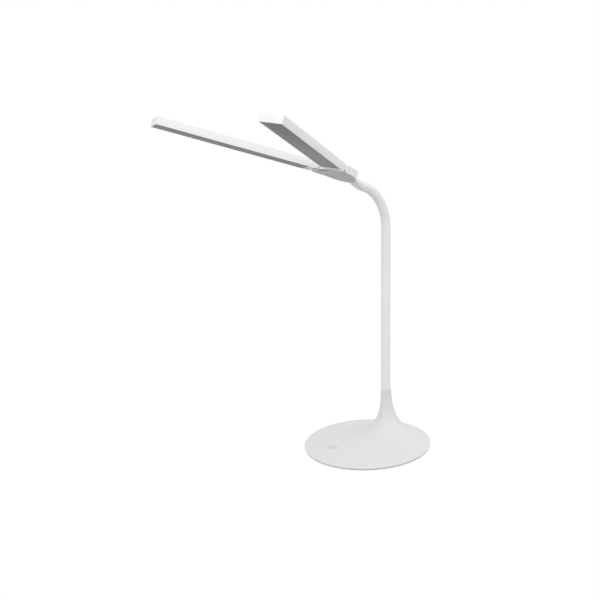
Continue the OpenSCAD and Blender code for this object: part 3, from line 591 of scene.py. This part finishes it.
block_w, block_in, block_out = plug_w + block_side, inlet_out - block_wall, inlet_out + block_reach
clear()
bpy.ops.mesh.primitive_grid_add(x_subdivisions=1, y_subdivisions=block_rows, size=1)
inlet_block = named("inlet_block")
inlet_block.scale = (block_w * mm, (block_out - block_in) * mm, 1)
inlet_block.location = (0, (block_in + block_out) / 2 * mm, 0)
bpy.ops.object.transform_apply(location=True, rotation=True, scale=True)
heights = []
for i in range(block_rows + 1):
    d = block_in + (block_out - block_in) * i / block_rows
    across = [at_inlet @ Vector((x * mm, d * mm, 0)) / mm for x in (-block_w / 2, 0, block_w / 2)]
    heights.append(min(skin_at(q.x, q.y) for q in across) - block_skin)
    pick_edges(inlet_block, lambda a, b: abs(a.y - d * mm) < 1e-5 and abs(b.y - d * mm) < 1e-5)
    edit("EDGE")
    bpy.ops.transform.translate(value=(0, 0, heights[-1] * mm))
    done()
edit()
bpy.ops.mesh.select_all(action="SELECT")
bpy.ops.mesh.extrude_region_move(TRANSFORM_OT_translate={"value": (0, 0, -0.02)})
bpy.ops.transform.resize(value=(1, 1, 0), center_override=(0, 0, (plate_top + gap) * mm))
done()
outward(inlet_block)
put(inlet_block, at_inlet)
cut(cover, inlet_block, "UNION")
mid_z = inlet_z + inlet_h / 2
groove_z = mid_z - plug_h / 2
groove = block("plug_groove", (-plug_w / 2, inlet_out, groove_z),
               (plug_w / 2, inlet_out + groove_l, groove_z + groove_h))
mouth = block("inlet_mouth", (-mouth_w / 2, inlet_out - mouth_from, mid_z - mouth_h / 2),
              (mouth_w / 2, inlet_out + mouth_to, mid_z + mouth_h / 2))
for tool in (groove, mouth):
    put(tool, at_inlet)
    cut(cover, tool)
print("inlet block heights", [round(h, 1) for h in heights])
print("faces of the cover", len(cover.data.polygons))

# %% [markdown]
# The symbol is inlaid: its outline is cut 0.3 mm deep into the slanted top, and the gray inlay from
# the CAD fills it. A ring with a gap and a bar is made of a thin tube and a small block.

# %% Recess of the touch symbol
icon_front, icon_r, icon_line = 47.3, 4.7, 0.6
tool_t, tool_z, stroke_from, stroke_short = 1.0, 0.2, 1, 1.4
slant = math.atan((skin_at(0, 1 - icon_front) - skin_at(0, -1 - icon_front)) / 2)
at_symbol = (Matrix.Translation((0, -icon_front * mm, skin_at(0, -icon_front) * mm))
             @ Matrix.Rotation(slant, 4, "X"))
clear()
bpy.ops.mesh.primitive_cylinder_add(vertices=64, radius=(icon_r + gap) * mm,
                                    depth=tool_t * mm, location=(0, 0, tool_z * mm))
recess = named("recess")
bpy.ops.mesh.primitive_cylinder_add(vertices=64, radius=(icon_r - icon_line - gap) * mm,
                                    depth=3 * tool_t * mm)
cut(recess, named("recess_middle"))
clear()
bpy.ops.mesh.primitive_cube_add(size=mm, location=(0, icon_r * mm, 0))
notch = named("recess_notch")
notch.scale = (3 * icon_line - 2 * gap, icon_r, 4 * tool_t)
cut(recess, notch)
clear()
bpy.ops.mesh.primitive_cube_add(size=mm, location=(0, (stroke_from + (icon_r - stroke_short) / 2) * mm,
                                                   tool_z * mm))
stroke = named("recess_stroke")
stroke.scale = (icon_line + 2 * gap, icon_r - stroke_short + 2 * gap, tool_t)
cut(recess, stroke, "UNION")
put(recess, at_symbol)
cut(cover, recess)
smooth(cover, 30)
# The cover wears the darker copy of the white plastic, which paints shade into its colour.
dress(cover, "white_shell", "white_base")
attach(cover, "base")
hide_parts("base_cover")
print("slant of the symbol", round(math.degrees(slant), 2), "degrees")

# %% [markdown]
# ## Neck sleeve
# The real sleeve is one soft tube. It has to bend at eight stations, and a piece can bend across one joint
# only, so the tube is made in eight stretches that meet in the middle of the sections between stations.
# Each is a circle that is extruded and turned ring by ring along the neck, then given its wall.

# %% Stretches of the neck


def station(k):
    """Length along the neck at which joint k sits."""
    arc = lean_r * math.radians(lean)
    if k == 1:
        return foot_l + arc / 2
    if k <= 3:
        return foot_l + arc + straight_l * (k - 1) / 3
    return foot_l + arc + straight_l + (k - 3.5) * bend_r * math.radians((head_tilt + lean) / 5)


def point_at(s):
    for (f0, z0, h0, s0), (f1, z1, h1, s1) in zip(neck_path, neck_path[1:]):
        if s <= s1 + 1e-9:
            k = (s - s0) / (s1 - s0)
            return f0 + k * (f1 - f0), z0 + k * (z1 - z0), h0 + k * (h1 - h0)
    return neck_path[-1][:3]


def in_row(s):
    f, z, h = point_at(s)
    return at_neck @ Vector((0, -f * mm, z * mm))


def sweep(name, s_from, s_to, radius, sides):
    """A tube of circles along the neck between two lengths."""
    stops = [s_from] + [p[3] for p in neck_path if s_from + 0.3 < p[3] < s_to - 0.3] + [s_to]
    f, z, h = point_at(s_from)
    clear()
    bpy.ops.mesh.primitive_circle_add(vertices=sides, radius=radius * mm, fill_type="NOTHING",
                                      location=(0, -f * mm, z * mm), rotation=(math.radians(h), 0, 0))
    tube = named(name)
    bpy.ops.object.transform_apply(location=True, rotation=True, scale=True)
    edit()
    bpy.ops.mesh.select_all(action="SELECT")
    for s in stops[1:]:
        f1, z1, h1 = point_at(s)
        move = (0, (f - f1) * mm, (z1 - z) * mm)
        bpy.ops.mesh.extrude_region_move(TRANSFORM_OT_translate={"value": move})
        if abs(h1 - h) > 1e-6:
            bpy.ops.transform.rotate(value=-math.radians(h1 - h), orient_axis="X",
                                     center_override=(0, -f1 * mm, z1 * mm))
        f, z, h = f1, z1, h1
    done()
    return tube


def give_wall(tube, thickness):
    outward(tube)
    take(tube)
    m = tube.modifiers.new("wall", "SOLIDIFY")
    m.thickness = thickness * mm
    m.offset = -1
    m.use_even_offset = True
    bpy.ops.object.modifier_apply(modifier=m.name)


sleeve_r, sleeve_wall, cable_r, reach_low, reach_high = 5.7, 0.8, 1.5, 14, 6.4
ends = [0.0] + [(station(k) + station(k + 1)) / 2 for k in range(1, 8)] + [neck_l]
sleeve_nodes = [[f"neck_sleeve_{k}"] for k in range(7)] + [["neck_sleeve_7", "neck_sleeve_8"]]
for k in range(1, 9):
    reach = reach_low if k <= 3 else reach_high
    low = max(ends[k - 1], station(k) - reach)
    sleeve = sweep(f"sleeve_{k}", ends[k - 1], ends[k], sleeve_r, 64)
    give_wall(sleeve, sleeve_wall)
    outward(sleeve)
    put(sleeve, at_neck)
    smooth(sleeve, 40)
    dress(sleeve, "white_sleeve")
    tuple(in_row(low))
    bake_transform(sleeve)
    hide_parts(*sleeve_nodes[k - 1])
    cable = sweep(f"cable_{k}", ends[k - 1], ends[k], cable_r, 16)
    edit()
    bpy.ops.mesh.select_all(action="SELECT")
    bpy.ops.mesh.fill_holes(sides=0)
    done()
    outward(cable)
    put(cable, at_neck)
    smooth(cable, 40)
    dress(cable, "cable_gray")
    tuple(in_row(low))
    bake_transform(cable)
    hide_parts("neck_cable")
print("stretches end at", [round(e, 1) for e in ends])

# %% [markdown]
# Below the neck the cable hangs down the stem and turns towards the board. It is a circle that is
# extruded down the stem and then turned in steps round its small bend.

# %% Cable in the stem
cable_low, cable_bend, cable_turn, turns = 12, 6.0, 88, 8
clear()
bpy.ops.mesh.primitive_circle_add(vertices=16, radius=cable_r * mm, fill_type="NGON",
                                  location=(0, 0, neck_z * mm))
stem_cable = named("stem_cable")
bpy.ops.object.transform_apply(location=True, rotation=True, scale=True)
edit()
bpy.ops.mesh.select_all(action="SELECT")
bpy.ops.mesh.extrude_region_move(TRANSFORM_OT_translate={"value": (0, 0, (cable_low - neck_z) * mm)})
for i in range(turns):
    bpy.ops.mesh.extrude_region_move(TRANSFORM_OT_translate={"value": (0, 0, 0)})
    bpy.ops.transform.rotate(value=math.radians(cable_turn / turns), orient_axis="X",
                             center_override=(0, cable_bend * mm, cable_low * mm))
done()
outward(stem_cable)
put(stem_cable, at_inlet)
smooth(stem_cable, 40)
dress(stem_cable, "cable_gray")
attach(stem_cable, "base")
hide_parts("neck_cable")
low_end = min((stem_cable.matrix_world @ v.co for v in stem_cable.data.vertices), key=lambda c: c.z)
print("the cable ends at", [round(c / mm, 1) for c in low_end])

# %% [markdown]
# ## Soft edges on the mouldings
# The hub and its lid have the right shape in the CAD, but every real moulding has rounded edges that catch
# the light. A copy of the node is merged, its flat faces are joined, and the outer edges are picked by
# their place and bevelled.

# %% Copy, merge and round


def merged_copy(node_name, name):
    src = nodes[node_name]
    copy = bpy.data.objects.new(name, src.data.copy())
    scene.collection.objects.link(copy)
    take(copy)
    edit()
    bpy.ops.mesh.select_all(action="SELECT")
    bpy.ops.mesh.remove_doubles(threshold=0.000002)
    bpy.ops.mesh.dissolve_limited(angle_limit=math.radians(0.6))
    done()
    copy.name = copy.data.name = name
    return copy


to_hub = at_hub.inverted()
hub_top = hub_lift + bar_t
hub_edge, thin_edge, tail_half, tail_front = 2.2, 0.35, 8, 70
hub = merged_copy("hub_shell", "hub_body")


def on_top_rim(a, b):
    p, q = to_hub @ a, to_hub @ b
    return abs(p.z - hub_top * mm) < 2e-5 and abs(q.z - hub_top * mm) < 2e-5


count = bevel_picked(hub, on_top_rim, hub_edge * mm, 5)
smooth(hub, 30)
dress(hub, "white_shell")
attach(hub, "hub")
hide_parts("hub_shell")
print("hub: rim edges", count, "faces", len(hub.data.polygons))

lid = merged_copy("hub_lid", "hub_cover_plate")


def low_edge(a, b):
    p, q = to_hub @ a, to_hub @ b
    low = lambda v: v.z < (hub_lift + 0.02) * mm
    side = lambda v: abs(v.x) > tail_half * mm or v.y < -tail_front * mm
    return low(p) and low(q) and side(p) and side(q)


count = bevel_picked(lid, low_edge, thin_edge * mm, 3)
smooth(lid, 30)
# The lid's gray is painted shade on white plastic.
dress(lid, "lid_gray")
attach(lid, "hub")
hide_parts("hub_lid")
print("lid: rim edges", count)

# %% [markdown]
# ## Light bars
# A bar is a shallow white channel. The light panel lies in it behind a narrow lip, and the root is
# rounded about the hinge pin so that it can turn close to the hub. It starts as a block; the two
# long root edges are bevelled into a half round, the outer edges get a small radius, and the
# channel and the room for the knuckle are cut out of it.

# %% Bar housings
bar_w, bar_l, panel_start, lip, panel_t, recess_t = 25.0, 186.0, 8.0, 1.2, 1.5, 0.5
bar_top, end_wall, ledge, root_wall, cheek_w, washer_t, room_gap = 1.6, 1.2, 0.8, 2.5, 4.0, 0.3, 0.35
knuckle_half = bar_w / 2 - cheek_w - washer_t - gap
room_half, room_reach = knuckle_half + room_gap, 9
half_w, half_t = bar_w / 2, bar_t / 2
for side, word in ((-1, "left"), (1, "right")):
    bar = block(f"light_bar_{word}", (-half_w, -bar_l, -half_t), (half_w, half_t, half_t))
    bevel_picked(bar, lambda a, b: min(a.y, b.y) > (half_t - 0.5) * mm and abs(a.x - b.x) > half_w * mm,
                 (half_t - 0.01) * mm, 12)
    bevel_picked(bar, lambda a, b: abs(a.x - b.x) < 1e-6 and abs(a.x) > (half_w - 0.1) * mm and
                 max(a.y, b.y) >= -bar_l / 2 * mm, thin_edge * mm, 3)
    bevel_picked(bar, lambda a, b: max(a.y, b.y) < (0.5 - bar_l) * mm, thin_edge * mm, 3)
    cut(bar, block("room", (-room_half, -half_t, -room_reach), (room_half, room_reach, room_reach)))
    cut(bar, block("pocket", (-half_w + lip - gap, -bar_l + end_wall - gap, -half_t - 1),
                   (half_w - lip + gap, -panel_start + gap, -half_t + recess_t + panel_t + gap)))
    cut(bar, block("chamber", (-half_w + lip + ledge, -bar_l + end_wall + ledge, -half_t - 0.5),
                   (half_w - lip - ledge, -half_t - root_wall, half_t - bar_top)))
    outward(bar)
    put(bar, at_bar(side))
    smooth(bar, 30)
    dress(bar, "white_shell")
    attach(bar, f"bar_{word}")
    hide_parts(f"bar_housing_{word}")
    panel = block(f"diffuser_{word}", (-half_w + lip, -bar_l + end_wall, -half_t + recess_t),
                  (half_w - lip, -panel_start, -half_t + recess_t + panel_t))
    bevel_picked(panel, lambda a, b: max(a.z, b.z) < (-half_t + recess_t + 0.1) * mm, 0.2 * mm, 2)
    put(panel, at_bar(side))
    smooth(panel, 30)
    # The diffuser's dark gray is partly its own tint and partly painted shade.
    dress(panel, "panel_gray")
    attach(panel, f"bar_{word}")
    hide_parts(f"light_panel_{word}")
print("bar box", [round(x, 4) for x in bar.dimensions])

# %% [markdown]
# ## Finish
# The view transform is Standard, so a colour renders about as it is written.

# %% Finish
scene.view_settings.view_transform = "Standard"
